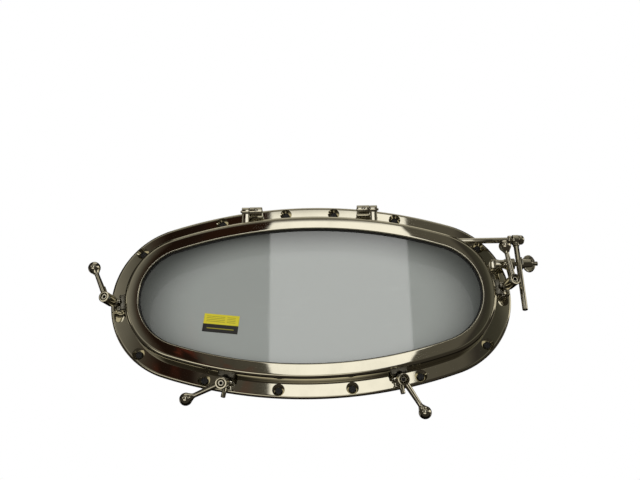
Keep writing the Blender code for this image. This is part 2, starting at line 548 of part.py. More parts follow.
# Bracket: a foot on the flange and a round boss that reaches past the flange's edge.
stud_axis = Vector((0, STUD_Y, STUD_Z))
boss_end = STAY_ROD_X - STAY_ROD_RADIUS - 0.4 * MM
boss_profile = [(0, boss_end), (5.2 * MM, boss_end), (5.8 * MM, boss_end - 0.6 * MM), (5.8 * MM, 205.0 * MM),
                (4.6 * MM, 203.0 * MM), (4.6 * MM, 194.0 * MM), (0, 194.0 * MM)]
boss = turned_mesh("stay_bracket", boss_profile, "X", stud_axis)
bracket = add_object("stay_bracket", boss, installed, STEEL)
plinth_low = (189.4 * MM, STUD_Y - 5.1 * MM, FLANGE_THICKNESS + GAP)
plinth_high = (198.6 * MM, STUD_Y + 5.1 * MM, 13.2 * MM)
plinth = box_mesh("bracket_foot", plinth_low, plinth_high, 0.8 * MM)
boolean(bracket, add_object("bracket_foot", plinth, installed, None, cutter=True), "UNION")
stud_radius = 2.4 * MM
stud_bore = cylinder_mesh("stud_bore", stud_radius + GAP, 205.0 * MM, boss_end + 2 * MM, "X", stud_axis, ROUND)
boolean(bracket, add_object("stud_bore", stud_bore, installed, None, cutter=True))

stud_profile = [(0, 238.6 * MM), (1.3 * MM, 238.2 * MM), (2.1 * MM, 237.2 * MM), (stud_radius, 236.0 * MM),
                (stud_radius, 205.4 * MM), (0, 205.4 * MM)]
add_object("stay_stud", turned_mesh("stay_stud", stud_profile, "X", stud_axis, ROUND), installed, SATIN_STEEL)

clamp_washer_from = STAY_ROD_X + STAY_ROD_RADIUS + 0.4 * MM
nut_from = clamp_washer_from + 1.6 * MM
washer_profile = [(7.2 * MM, nut_from - GAP), (7.2 * MM, clamp_washer_from), (stud_radius + GAP, clamp_washer_from),
                  (stud_radius + GAP, nut_from - GAP)]
add_object("stay_washer", turned_mesh("stay_washer", washer_profile, "X", stud_axis, ROUND), installed, SATIN_STEEL)

# Wing nut: a round hub with two broad rounded wings in one flattened lobe.
wing_axis = make_empty("wing_nut_axis", installed, stud_axis)
hub_profile = [(4.0 * MM, nut_from + 10.5 * MM), (4.6 * MM, nut_from + 9.0 * MM), (5.2 * MM, nut_from + 1.0 * MM),
               (4.8 * MM, nut_from), (stud_radius + GAP, nut_from), (stud_radius + GAP, nut_from + 10.5 * MM)]
wing_nut = add_object("wing_nut", turned_mesh("wing_nut", hub_profile, "X", sides=ROUND), wing_axis, STEEL)
lobe_centre = (nut_from + 7.1 * MM, 0, 0)
lobe_mesh = cylinder_mesh("wing_lobe", 9.6 * MM, -1.5 * MM, 1.5 * MM, "Z", (0, 0, 0), 2 * ROUND)
lobe_mesh.transform(Matrix.Translation(lobe_centre) @ Matrix.Diagonal((0.72, 1.0, 1.0, 1.0)))
boolean(wing_nut, add_object("wing_lobe", lobe_mesh, wing_axis, None, cutter=True), "UNION")
nut_bore = cylinder_mesh("wing_nut_bore", stud_radius + GAP, nut_from - 4 * MM, nut_from + 16 * MM, "X",
                         (0, 0, 0), ROUND)
boolean(wing_nut, add_object("wing_nut_bore", nut_bore, wing_axis, None, cutter=True))
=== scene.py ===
"""Opening porthole: the visual model, its studio and its camera.

Everything is in metres in the porthole's own frame: +X to the right along the oval, +Z up, and -Y out of
the flange towards the cabin. Shapes are laid out flat in drawing axes (X right, Y up, Z towards the cabin)
and the matrix UPRIGHT stands them up. Profiles are written in millimetres.
"""

import math

import bmesh
import bpy
import numpy as np
from mathutils import Matrix, Vector


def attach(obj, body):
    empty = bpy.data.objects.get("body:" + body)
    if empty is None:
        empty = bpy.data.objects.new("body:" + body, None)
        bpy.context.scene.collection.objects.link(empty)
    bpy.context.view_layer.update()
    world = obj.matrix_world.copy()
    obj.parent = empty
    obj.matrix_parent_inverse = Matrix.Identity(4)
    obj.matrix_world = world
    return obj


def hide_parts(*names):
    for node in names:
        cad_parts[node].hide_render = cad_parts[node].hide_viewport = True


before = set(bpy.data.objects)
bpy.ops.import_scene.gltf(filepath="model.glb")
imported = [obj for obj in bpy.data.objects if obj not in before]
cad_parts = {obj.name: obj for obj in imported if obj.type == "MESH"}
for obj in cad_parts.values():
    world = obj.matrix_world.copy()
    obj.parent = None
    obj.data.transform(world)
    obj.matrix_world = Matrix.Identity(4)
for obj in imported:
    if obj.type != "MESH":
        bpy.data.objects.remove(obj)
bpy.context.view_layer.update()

MM = 0.001
UPRIGHT = Matrix.Rotation(math.pi / 2, 4, "X")


# ---- Main frame ---------------------------------------------------------------------------------------
# The oval flange and its spigot are one casting of stainless steel, brought to a mirror on a wheel. It hangs
# in the hull's cut-out on twelve countersunk screws, and a shallow pocket is milled under each dog.
class Wire:
    """An output socket of a node tree, with operators that add Math nodes; or the bare tree, without one."""

    def __init__(self, tree, socket=None):
        self.tree = tree
        self.socket = socket

    def plug(self, target, value):
        """Link a wire into an input, or set the input's constant."""
        if isinstance(value, Wire):
            self.tree.links.new(value.socket, target)
        else:
            target.default_value = value

    def node(self, kind, inputs=None, out=0, **settings):
        """Add a node with its settings and inputs, and return one of its outputs."""
        made = self.tree.nodes.new(kind)
        stops = settings.pop("stops", None)
        if stops:
            ramp = made.color_ramp.elements
            ramp.remove(ramp[1])
            ramp[0].position, ramp[0].color = stops[0][0], (*stops[0][1], 1.0)
            for position, colour in stops[1:]:
                ramp.new(position).color = (*colour, 1.0)
        for key, value in settings.items():
            setattr(made, key, value)
        for key, value in (inputs or {}).items():
            self.plug(made.inputs[key], value)
        return Wire(self.tree, None if out is None else made.outputs[out])

    def maths(self, operation, *others):
        """Join this value and others with a Math node."""
        return self.node("ShaderNodeMath", dict(enumerate((self, *others))), operation=operation)

    def __add__(self, other):
        return self.maths("ADD", other)

    __radd__ = __add__

    def __sub__(self, other):
        return self.maths("SUBTRACT", other)

    def __rsub__(self, other):
        return (self * -1.0) + other

    def __mul__(self, other):
        return self.maths("MULTIPLY", other)

    __rmul__ = __mul__

    def __truediv__(self, other):
        return self.maths("DIVIDE", other)

    def ramp(self, low, high):
        """Smooth step from 0 at low to 1 at high; it falls where low is above high."""
        inputs = {0: self, 1: min(low, high), 2: max(low, high)}
        if low > high:
            inputs.update({3: 1.0, 4: 0.0})
        return self.node("ShaderNodeMapRange", inputs, interpolation_type="SMOOTHSTEP")

    def band(self, low, high, soft):
        """1 between two values, with soft edges."""
        return self.ramp(low - soft, low + soft) * self.ramp(high + soft, high - soft)

    def mix(self, first, second):
        """The first colour where this value is 0, the second where it is 1."""
        return self.node("ShaderNodeMix", {0: self, 6: first, 7: second}, out=2, data_type="RGBA")

    def stretched(self, scale):
        """This vector times a vector."""
        return self.node("ShaderNodeVectorMath", {0: self, 1: scale}, operation="MULTIPLY")

    def noise(self, scale, detail=3.0, rough=0.55):
        """Noise of a vector, from 0 to 1."""
        inputs = {"Vector": self, "Scale": scale, "Detail": detail, "Roughness": rough}
        return self.node("ShaderNodeTexNoise", inputs)


def new_material(name):
    """An empty material and the wire of its node tree."""
    material = bpy.data.materials.new(name)
    material.use_nodes = True
    material.node_tree.nodes.clear()
    return material, Wire(material.node_tree)


def close_material(graph, height, depth, **inputs):
    """A Principled BSDF with a bump of that height in metres, into the material's output."""
    bump = graph.node("ShaderNodeBump", {"Height": height, "Strength": 1.0, "Distance": depth})
    inputs = {key.replace("_", " "): value for key, value in inputs.items()}
    shader = graph.node("ShaderNodeBsdfPrincipled", {**inputs, "Normal": bump})
    graph.node("ShaderNodeOutputMaterial", {"Surface": shader}, out=None)


def steel(name, colour, roughness, lines, swept=False):
    """Stainless steel with wipe marks, scuffs, hairlines of a given strength and the wheel's ripple.

    Roughness = r + 0.8 r worn + lines hairline + 0.05 scuff. A swept piece carries the distance along its
    profile as the attribute "across", so that its hairlines follow the oval; elsewhere they lie level.
    """
    material, graph = new_material(name)
    place = graph.node("ShaderNodeTexCoord", out="Object")
    smudge = place.noise(38.0, 5.0, 0.6)
    ripple = place.noise(22.0, 1.0, 0.4)
    if swept:
        across = graph.node("ShaderNodeAttribute", out="Fac", attribute_name="across")
        drift = place.noise(14.0, 2.0)
        along = graph.node("ShaderNodeCombineXYZ", {0: across * 5200.0, 1: drift * 9.0, 2: 0.0})
        hairline = along.noise(1.0, 4.0, 0.7)
    else:
        hairline = place.stretched((260.0, 260.0, 6200.0)).noise(1.0, 3.0, 0.7)
    scuff = place.stretched((900.0, 900.0, 2100.0)).noise(1.0, 2.0, 0.6).ramp(0.66, 0.80)
    worn = smudge.ramp(0.35, 0.75)
    tone = worn.mix((*colour, 1.0), (*[0.90 * part for part in colour], 1.0))
    rough = worn * (0.8 * roughness) + hairline * lines + scuff * 0.05 + roughness
    height = hairline * lines + ripple
    close_material(graph, height, 0.02 * MM, Base_Color=tone, Metallic=1.0, Roughness=rough)
    return material


polished_swept = steel("polished_steel_swept", (0.56, 0.53, 0.42), 0.012, 0.022, swept=True)
polished = steel("polished_steel", (0.56, 0.53, 0.43), 0.025, 0.02)


def soften(corners, radius, steps=4):
    """Round the inner corners of an open (across, height) profile by Bezier arcs b(t) of the given radius.

    b(t) = (1 - t)^2 a + 2 t (1 - t) c + t^2 b, from a point a before the corner c to a point b after it.
    """
    corners = np.array(corners, dtype=float)
    t = np.linspace(0.0, 1.0, steps + 1)[:, None]
    rounded = [corners[:1]]
    for before, corner, after in zip(corners[:-2], corners[1:-1], corners[2:]):
        back, ahead = before - corner, after - corner
        reach_back = min(radius, 0.45 * np.linalg.norm(back))
        reach_ahead = min(radius, 0.45 * np.linalg.norm(ahead))
        start = corner + back / np.linalg.norm(back) * reach_back
        end = corner + ahead / np.linalg.norm(ahead) * reach_ahead
        rounded.append((1 - t) ** 2 * start + 2 * t * (1 - t) * corner + t ** 2 * end)
    rounded.append(corners[-1:])
    return np.concatenate(rounded)


def smooth_mesh(bm, name, angle=30):
    """Close a bmesh into a mesh with outward faces, smooth apart from its sharp edges."""
    bmesh.ops.remove_doubles(bm, verts=bm.verts, dist=1e-7)
    bmesh.ops.recalc_face_normals(bm, faces=bm.faces)
    mesh = bpy.data.meshes.new(name)
    bm.to_mesh(mesh)
    bm.free()
    mesh.shade_smooth()
    mesh.set_sharp_from_angle(angle=math.radians(angle))
    return mesh


def link(name, mesh, material):
    """A new object for a mesh."""
    mesh.materials.append(material)
    obj = bpy.data.objects.new(name, mesh)
    bpy.context.scene.collection.objects.link(obj)
    return obj


def grid(name, points, material, wrap_rows=False, across=None):
    """An object from an array of points, (rows, columns, 3): columns close on themselves, rows if wanted."""
    rows, columns = points.shape[:2]
    index = np.arange(rows * columns).reshape(rows, columns)
    lower = index if wrap_rows else index[:-1]
    upper = np.roll(index, -1, axis=0) if wrap_rows else index[1:]
    quads = np.stack([lower, np.roll(lower, -1, axis=1), np.roll(upper, -1, axis=1), upper], axis=-1)
    raw = bpy.data.meshes.new(name)
    raw.from_pydata(points.reshape(-1, 3), [], quads.reshape(-1, 4))
    if across is not None:
        attribute = raw.attributes.new("across", "FLOAT", "POINT")
        attribute.data.foreach_set("value", np.repeat(across, columns))
    bm = bmesh.new()
    bm.from_mesh(raw)
    bpy.data.meshes.remove(raw)
    return link(name, smooth_mesh(bm, name), material)


def placed(points, matrix):
    """Points moved by a matrix: p' = R p + t."""
    matrix = np.array(matrix)
    return points @ matrix[:3, :3].T + matrix[:3, 3]


def turned(name, profile, matrix, material, sides=72):
    """A solid of revolution of (radius, height) points: p(i, a) = (r_i cos a, r_i sin a, h_i).

    A profile that never reaches the axis is a bored piece, and closes on itself.
    """
    profile = np.asarray(profile, dtype=float)
    angle = np.linspace(0.0, 2 * np.pi, sides, endpoint=False)
    radius, height = profile[:, :1], profile[:, 1:]
    points = np.stack([radius * np.cos(angle), radius * np.sin(angle), height + 0 * angle], axis=-1)
    return grid(name, placed(points, matrix), material, wrap_rows=bool(profile[:, 0].min() > 0))


def block(name, low, high, edge, matrix, material):
    """A box between two corners with rounded edges."""
    bm = bmesh.new()
    bmesh.ops.create_cube(bm, size=1.0)
    low, high = Vector(low), Vector(high)
    bmesh.ops.scale(bm, vec=high - low, verts=bm.verts)
    bmesh.ops.translate(bm, vec=(low + high) / 2, verts=bm.verts)
    if edge:
        bmesh.ops.bevel(bm, geom=bm.edges[:], offset=edge, segments=4, profile=0.5, affect="EDGES")
    bmesh.ops.transform(bm, matrix=matrix, verts=bm.verts)
    return link(name, smooth_mesh(bm, name), material)


def combine(obj, operation, *tools):
    """Apply Booleans with the tools, which are used up, and return the object."""
    for tool in tools:
        modifier = obj.modifiers.new(tool.name, "BOOLEAN")
        modifier.operation = operation
        modifier.object = tool
        modifier.solver = "EXACT"
    bpy.context.view_layer.update()
    result = bpy.data.meshes.new_from_object(obj.evaluated_get(bpy.context.evaluated_depsgraph_get()))
    obj.modifiers.clear()
    bm = bmesh.new()
    bm.from_mesh(result)
    material = obj.data.materials[0]
    obj.data = smooth_mesh(bm, obj.name)
    obj.data.materials.clear()
    obj.data.materials.append(material)
    for polygon in obj.data.polygons:
        polygon.material_index = 0
    for tool in tools:
        bpy.data.objects.remove(tool)
    return obj


def fit(obj, body, slot, *nodes):
    """The piece rides on a body and stands for its CAD nodes, which it hides. The slot is not used."""
    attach(obj, body)
    if nodes:
        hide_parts(*nodes)


# The oval is four tangent arcs. A profile's offsets run inward from the flange's edge, and its heights
# towards the cabin.
HALF_WIDTH, HALF_HEIGHT, END_RADIUS = 209.0 * MM, 106.0 * MM, 86.0 * MM
END_CENTRE = HALF_WIDTH - END_RADIUS
SIDE_RADIUS = ((END_CENTRE ** 2 + HALF_HEIGHT ** 2 - END_RADIUS ** 2) / (2 * (HALF_HEIGHT - END_RADIUS)))
SIDE_CENTRE = SIDE_RADIUS - HALF_HEIGHT
END_ANGLE = math.atan2(SIDE_CENTRE, END_CENTRE)


def oval_stations(end_steps=150, side_steps=76):
    """Centres, radii and bearings of the stations round the oval."""
    arcs = ((END_CENTRE, 0.0, END_RADIUS, -END_ANGLE, END_ANGLE, end_steps),
            (0.0, -SIDE_CENTRE, SIDE_RADIUS, END_ANGLE, math.pi - END_ANGLE, side_steps),
            (-END_CENTRE, 0.0, END_RADIUS, math.pi - END_ANGLE, math.pi + END_ANGLE, end_steps),
            (0.0, SIDE_CENTRE, SIDE_RADIUS, math.pi + END_ANGLE, 2 * math.pi - END_ANGLE, side_steps))
    columns = []
    for x, y, radius, start, end, steps in arcs:
        bearing = np.linspace(start, end, steps, endpoint=False)
        columns.append(np.stack([x + 0 * bearing, y + 0 * bearing, radius + 0 * bearing, bearing]))
    return np.concatenate(columns, axis=1)


def oval_sweep(name, profile, material):
    """A closed profile of (offset, height) in mm round the oval: p = c + (R - offset) n, at its height."""
    profile = np.asarray(profile, dtype=float) * MM
    x, y, radius, bearing = oval_stations()
    reach = radius[None, :] - profile[:, :1]
    level = profile[:, 1:] + 0 * reach
    points = np.stack([x + reach * np.cos(bearing), y + reach * np.sin(bearing), level], axis=-1)
    steps = np.linalg.norm(np.diff(profile, axis=0), axis=1)
    across = np.concatenate([[0.0], np.cumsum(steps)])
    return grid(name, placed(points, UPRIGHT), material, wrap_rows=True, across=across)


def side_height(x, offset):
    """Height over the middle line of the oval at x, in metres, offset inward from the flange's edge."""
    end = END_RADIUS - offset
    if abs(x) > END_CENTRE + end * math.cos(END_ANGLE):
        return math.sqrt(end ** 2 - (abs(x) - END_CENTRE) ** 2)
    return math.sqrt((SIDE_RADIUS - offset) ** 2 - x ** 2) - SIDE_CENTRE


THICKNESS, RIM_RADIUS, SPIGOT_END = 4.0, 8 / 3, -44.98
rim_turn = np.radians(np.linspace(210, 90, 15))
rim = [(2.69 + RIM_RADIUS * math.cos(a), THICKNESS / 3 + RIM_RADIUS * math.sin(a)) for a in rim_turn]
frame_profile = rim + [(3.4, THICKNESS), (12.0, THICKNESS), (24.0, THICKNESS)]
spigot = [(30.0, THICKNESS), (31.8, THICKNESS), (31.8, -20.0), (31.8, SPIGOT_END), (28.6, SPIGOT_END),
          (28.6, -20.0), (28.6, -1.5), (27.1, 0.0), (20.0, 0.0)]
frame_profile += list(soften(spigot, 0.5))
casting = oval_sweep("frame_casting", frame_profile, polished_swept)

DOGS = (("left", -5.5, "end", 115.4, False), ("right", 4.5, "end", 98.2, False),
        ("lower_left", -85.0, "bottom", 203.0, True), ("lower_right", 88.0, "bottom", -57.3, True))


def dog_place(where, side):
    """The upright matrix of a dog's pivot: local X outward, Y along the pin, Z towards the cabin."""
    if side == "end":
        radius, sign = END_RADIUS - 10 * MM, math.copysign(1, where)
        bearing = math.asin(where * MM / radius)
        bearing = math.pi - bearing if sign < 0 else bearing
        centre = (sign * END_CENTRE, 0.0)
    else:
        radius = SIDE_RADIUS - 10 * MM
        bearing = -math.pi / 2 + math.asin(where * MM / radius)
        centre = (0.0, SIDE_CENTRE)
    x, y = centre[0] + radius * math.cos(bearing), centre[1] + radius * math.sin(bearing)
    return UPRIGHT @ Matrix.Translation((x, y, 7 * MM)) @ Matrix.Rotation(bearing, 4, "Z"), bearing


HOLE_INSET = 8.2 * MM
holes = [(x * MM, side_height(x * MM, HOLE_INSET)) for x in (-179, -95, -26, 26, 92, 179)]
holes += [(x * MM, -side_height(x * MM, HOLE_INSET)) for x in (-176, -108, -33, 41, 110, 180)]
drills = []
for number, (x, y) in enumerate(holes):
    countersink = soften([(0, 5.0), (7.3, 5.0), (5.4, 3.1), (3.4, 1.1), (3.4, -1.0), (0, -1.0)], 0.1)
    hole_at = UPRIGHT @ Matrix.Translation((x, y, 0))
    drills.append(turned(f"countersink_{number}", countersink * MM, hole_at, polished))
for dog, where, side, _, _ in DOGS:
    matrix, _ = dog_place(where, side)
    pocket = ((-5.2 * MM, -3.5 * MM, -4.6 * MM), (5.2 * MM, 3.5 * MM, 1 * MM))
    drills.append(block(f"pocket_{dog}", *pocket, 0.5 * MM, matrix, polished))
fit(combine(casting, "DIFFERENCE", *drills), "frame", "polished_steel", "main_frame")


# ---- Gasket and seals ---------------------------------------------------------------------------------
# Black rubber, moulded in rings: the weather gasket that the ring presses on, glued to the flange, and a thin
# black strip between flange and hull, which is painted shade: it closes the screw holes so they look dark.
# The thin glazing seal sits on the pane, under the ring's lip.
def rubber(name):
    """Black rubber with a grain and a grey bloom, in patches of cloudy noise."""
    material, graph = new_material(name)
    place = graph.node("ShaderNodeTexCoord", out="Object")
    grain = place.noise(1400.0, 2.0)
    bloom = place.noise(60.0, 4.0).ramp(0.45, 0.8)
    tone = bloom.mix((0.006, 0.006, 0.007, 1.0), (0.020, 0.020, 0.021, 1.0))
    close_material(graph, grain, 0.03 * MM, Base_Color=tone, Roughness=bloom * 0.15 + 0.42)
    return material


black_rubber = rubber("black_rubber")
gasket = soften([(22.0, 4.3), (20.1, 4.3), (20.1, 5.5), (20.9, 5.9), (23.1, 5.9), (23.9, 5.5), (23.9, 4.3),
                 (22.4, 4.3)], 0.4)
fit(oval_sweep("weather_gasket", gasket, black_rubber), "frame", "rubber", "frame_gasket")
# Painted shade: a thin black strip behind the flange, under the screw holes, so that they look dark.
hole_shade = soften([(12.0, -0.35), (4.5, -0.35), (4.5, -0.05), (25.0, -0.05), (25.0, -0.35), (13.0, -0.35)],
                 0.1)
fit(oval_sweep("hole_shade_strip", hole_shade, black_rubber), "frame", "rubber")
seal = soften([(30.0, 14.2), (26.3, 14.2), (26.3, 14.9), (33.0, 14.9), (33.4, 14.2), (30.4, 14.2)], 0.2)
fit(oval_sweep("pane_seal", seal, black_rubber), "door", "rubber", "glazing_seal")

# ---- Opening ring -------------------------------------------------------------------------------------
# The door: a heavy cast ring of polished steel with a rounded shoulder, a barely domed face and a thin lip
# over the pane. A flat retaining ring of satin steel is fixed behind the pane and holds it in.
SHOULDER, FACE = 3.9, 18.5
shoulder = [(20.9 + SHOULDER * math.cos(a), FACE - SHOULDER + SHOULDER * math.sin(a))
            for a in np.radians(np.linspace(180, 90, 15))]
dome = [(offset, FACE + 0.03 * math.sin(math.pi * (offset - 20.9) / 9.9))
        for offset in np.linspace(21.5, 30.2, 9)]
lip = [(30.8 + math.sin(a), FACE - 1 + math.cos(a)) for a in np.radians(np.linspace(0, 90, 9))]
ring_profile = [(17.0, 4.9), (17.0, 9.0)] + shoulder + dome + lip
ring_profile += [(31.8, 15.2), (26.0, 15.2), (26.0, 4.6), (24.2, 4.6), (24.2, 6.6), (18.2, 6.6), (18.2, 4.6),
                 (17.3, 4.6)]
fit(oval_sweep("opening_ring", ring_profile, polished_swept), "door", "polished_steel", "door_ring")
satin = steel("satin_steel", (0.56, 0.54, 0.47), 0.10, 0.10)
retainer = soften([(29.0, 4.9), (26.3, 4.9), (26.3, 7.6), (31.6, 7.6), (31.6, 5.6), (30.9, 4.9), (29.4, 4.9)],
                  0.25)
fit(oval_sweep("pane_retainer", retainer, satin), "door", "satin_steel", "retaining_ring")

# ---- Pane ---------------------------------------------------------------------------------------------
# A plate of grey-tinted acrylic, cut to the oval with a small chamfer and clamped between the ring's lip and
# the retaining ring. Its colour is darkened towards its rim, most at the top, which is painted shade of the
# ring; it has faint wipe marks and a few specks of dust.
material, graph = new_material("tinted_pane")
place = graph.node("ShaderNodeTexCoord", out="Object")
wipe = place.stretched((18.0, 1.0, 55.0)).noise(1.0, 5.0, 0.62).ramp(0.52, 0.80)
speck = place.noise(900.0, 1.0).ramp(0.77, 0.80)
x = graph.node("ShaderNodeSeparateXYZ", {0: place}, out=0) / 0.178
z = (graph.node("ShaderNodeSeparateXYZ", {0: place}, out=2) + 0.012) / 0.086
# Painted shade: the base colour darkens towards the rim, most at the top, under the ring.
painted_rim_shade = (x.maths("ABSOLUTE").maths("POWER", 2.6) + z.maths("ABSOLUTE").maths("POWER", 2.2)).ramp(0.32, 1.02)
tone = (wipe * 0.2 + speck * 0.6).mix((0.43, 0.455, 0.43, 1.0), (0.52, 0.54, 0.52, 1.0))
tone = painted_rim_shade.mix(tone, (0.10, 0.107, 0.10, 1.0))
close_material(graph, place.noise(9.0, 1.0), 0.02 * MM, Base_Color=tone,
               Roughness=wipe * 0.05 + speck * 0.2 + 0.02, Alpha=0.86, IOR=1.9)
x, y, radius, bearing = oval_stations()
levels = np.array([(7.9, 5.0), (7.9, 0.2), (8.1, 0.0), (13.7, 0.0), (13.9, 0.2), (13.9, 5.0)]) * MM
reach = radius[None, :] - 26.6 * MM - levels[:, 1:]
height = levels[:, :1] + 0 * reach
walls = np.stack([x + reach * np.cos(bearing), y + reach * np.sin(bearing), height], axis=-1)
pane = grid("acrylic_pane", placed(walls, UPRIGHT), material)
bm = bmesh.new()
bm.from_mesh(pane.data)
bmesh.ops.holes_fill(bm, edges=[edge for edge in bm.edges if edge.is_boundary], sides=0)
pane.data = smooth_mesh(bm, "acrylic_pane")
pane.data.materials.append(material)
fit(pane, "door", "pane", "window_pane")

# ---- Label --------------------------------------------------------------------------------------------
# A small adhesive label stuck on the pane by hand, a little crooked. It is printed on yellow film, with a
# black panel and thin ruled lines, and is slightly domed and scuffed.
LABEL_SIZE = (36.4 * MM, 19.4 * MM)
LABEL_TURN = Matrix.Rotation(math.radians(-6.5), 4, "Z")
LABEL_AT = Matrix.Translation((-91.5 * MM, -29.5 * MM, 13.95 * MM)) @ LABEL_TURN
material, graph = new_material("adhesive_label")
chart = graph.node("ShaderNodeUVMap", uv_map="print")
u = graph.node("ShaderNodeSeparateXYZ", {0: chart}, out=0)
v = graph.node("ShaderNodeSeparateXYZ", {0: chart}, out=1)
panel = u.band(-0.1, 1.1, 0.004) * v.band(-0.1, 0.44, 0.008)
groove = v.band(0.19, 0.23, 0.008) * u.band(0.12, 0.88, 0.004)
rules = (v * 11.0).maths("FRACT").band(0.36, 0.60, 0.05) * v.band(0.52, 0.93, 0.004)
rules = rules * u.band(0.08, 0.90, 0.004) * (1.0 - u.band(0.60, 0.66, 0.004))
ink = (panel - groove * 0.55).maths("MAXIMUM", rules * 0.7)
worn = graph.node("ShaderNodeTexCoord", out="Object").noise(420.0, 4.0, 0.65)
ink = ink * worn.ramp(0.20, 0.36)
paper = worn.mix((0.66, 0.57, 0.012, 1.0), (0.80, 0.70, 0.025, 1.0))
tone = ink.mix(paper, (0.018, 0.017, 0.015, 1.0))
close_material(graph, worn, 0.02 * MM, Base_Color=tone, Roughness=worn * 0.2 + 0.32)
columns, rows = np.meshgrid(np.linspace(-1, 1, 49), np.linspace(-1, 1, 29))
lift = 0.22 * MM * (1 - np.maximum(np.abs(columns), np.abs(rows)) ** 24)
top = np.stack([columns * LABEL_SIZE[0] / 2, rows * LABEL_SIZE[1] / 2, 0.02 * MM + lift], axis=-1)
index = np.arange(columns.size).reshape(columns.shape)
quads = np.stack([index[:-1, :-1], index[:-1, 1:], index[1:, 1:], index[1:, :-1]], axis=-1)
mesh = bpy.data.meshes.new("printed_label")
mesh.from_pydata(placed(top.reshape(-1, 3), UPRIGHT @ LABEL_AT), [], quads.reshape(-1, 4))
layer = mesh.uv_layers.new(name="print")
corners = np.empty(len(mesh.loops), dtype=np.int32)
mesh.loops.foreach_get("vertex_index", corners)
chart = np.stack([columns.ravel() / 2 + 0.5, rows.ravel() / 2 + 0.5], axis=-1)
layer.data.foreach_set("uv", chart[corners].ravel())
mesh.shade_smooth()
label = link("printed_label", mesh, material)
solid = label.modifiers.new("thickness", "SOLIDIFY")
solid.thickness = 0.04 * MM
solid.offset = 0.0
fit(label, "door", "label", "pane_label")

# ---- Hinges -------------------------------------------------------------------------------------------
# Each hinge is a block of polished steel fixed to the flange, with a recessed set screw that holds the pin. A
# lug welded to the ring turns on the same pin beside it.
ALONG_X = Matrix.Rotation(math.pi / 2, 4, "Y")
HINGE_AT = (0.0, 96.5 * MM, 15.0 * MM)


def hexagon(name, radius, start, end, matrix):
    """A hexagonal drill for sockets, its radius to the corners."""
    return turned(name, [(0, end), (radius, end), (radius, start), (0, start)], matrix, polished, sides=6)


def drill(name, radius, start, end, matrix):
    """A round drill."""
    return turned(name, [(0, end), (radius, end), (radius, start), (0, start)], matrix, polished)


def rod_profile(start, end, radius, edge):
    """Outline of a plain round bar with softened ends, in metres from mm."""
    return soften([(0, end), (radius, end), (radius, start), (0, start)], edge) * MM


def along_hinge(side_sign, start, end):
    """The two x limits of a hinge piece on one side, in mm and rising."""
    return sorted((side_sign * start, side_sign * end))


hinge_line = UPRIGHT @ Matrix.Translation(HINGE_AT) @ ALONG_X
for side, sign in (("left", -1), ("right", 1)):
    start, end = along_hinge(sign, 51.0, 64.7)
    knuckle = turned(f"hinge_knuckle_{side}", rod_profile(start, end, 4.6, 0.6), hinge_line, polished)
    foot = block(f"hinge_foot_{side}", ((start + 0.2) * MM, 92.4 * MM, 4.3 * MM),
                 ((end - 0.2) * MM, 100.6 * MM, 15 * MM), 0.6 * MM, UPRIGHT, polished)
    combine(knuckle, "UNION", foot)
    screw_at = UPRIGHT @ Matrix.Translation((sign * 58.0 * MM, 96.5 * MM, 0))
    mouth = soften([(0, 23.0), (2.6, 23.0), (2.6, 19.9), (1.9, 19.1), (1.9, 16.0), (0, 16.0)], 0.12) * MM
    combine(knuckle, "DIFFERENCE", turned(f"hinge_mouth_{side}", mouth, screw_at, polished),
            drill(f"hinge_bore_{side}", 1.7 * MM, -80 * MM, 80 * MM, hinge_line))
    fit(knuckle, "frame", "polished_steel", f"hinge_block_{side}")
    grub = turned(f"grub_screw_{side}", rod_profile(16.8, 19.2, 1.6, 0.25), screw_at, satin)
    combine(grub, "DIFFERENCE", hexagon(f"grub_key_{side}", 1.0 * MM, 17.9 * MM, 21 * MM, screw_at))
    fit(grub, "frame", "satin_steel", f"set_screw_{side}")

    start, end = along_hinge(sign, 50.4, 74.4)
    pin = turned(f"hinge_shaft_{side}", rod_profile(start, end, 1.4, 0.5), hinge_line, satin)
    fit(pin, "frame", "satin_steel", f"hinge_pin_{side}")

    start, end = along_hinge(sign, 65.0, 72.8)
    lug = turned(f"ring_lug_{side}", rod_profile(start, end, 4.4, 0.6), hinge_line, polished)
    leg = block(f"ring_leg_{side}", ((start + 0.2) * MM, 80.5 * MM, 10.8 * MM),
                ((end - 0.2) * MM, 96.5 * MM, 17.2 * MM), 0.8 * MM, UPRIGHT, polished)
    combine(lug, "UNION", leg)
    combine(lug, "DIFFERENCE", drill(f"ring_bore_{side}", 1.7 * MM, -80 * MM, 80 * MM, hinge_line))
    fit(lug, "door", "polished_steel", f"hinge_lug_{side}")

# ---- Dogs ---------------------------------------------------------------------------------------------
# Four swing bolts clamp the ring. Each has a lug and a pin on the flange, a threaded eye bolt, a washer, a
# long nut with a ball lever, and a slotted ear welded to the ring. They rest leaning outward, clear of their
# ears. A black disc deep in the socket of each tip is painted shade, so that the socket looks dark.
ALONG_Y = Matrix.Rotation(-math.pi / 2, 4, "X")
# A dark, rougher steel for the ear welds and the ears; on the ears its darkness is painted shade.
weld_and_painted_shade = steel("weld_and_painted_shade_steel", (0.20, 0.19, 0.155), 0.22, 0.12)
REST_LEAN, SEAT_LEAN = math.radians(17), math.radians(-9)
LEVER_HEIGHT, LEVER_LENGTH, BALL = 27.2, 38.0, 6.35


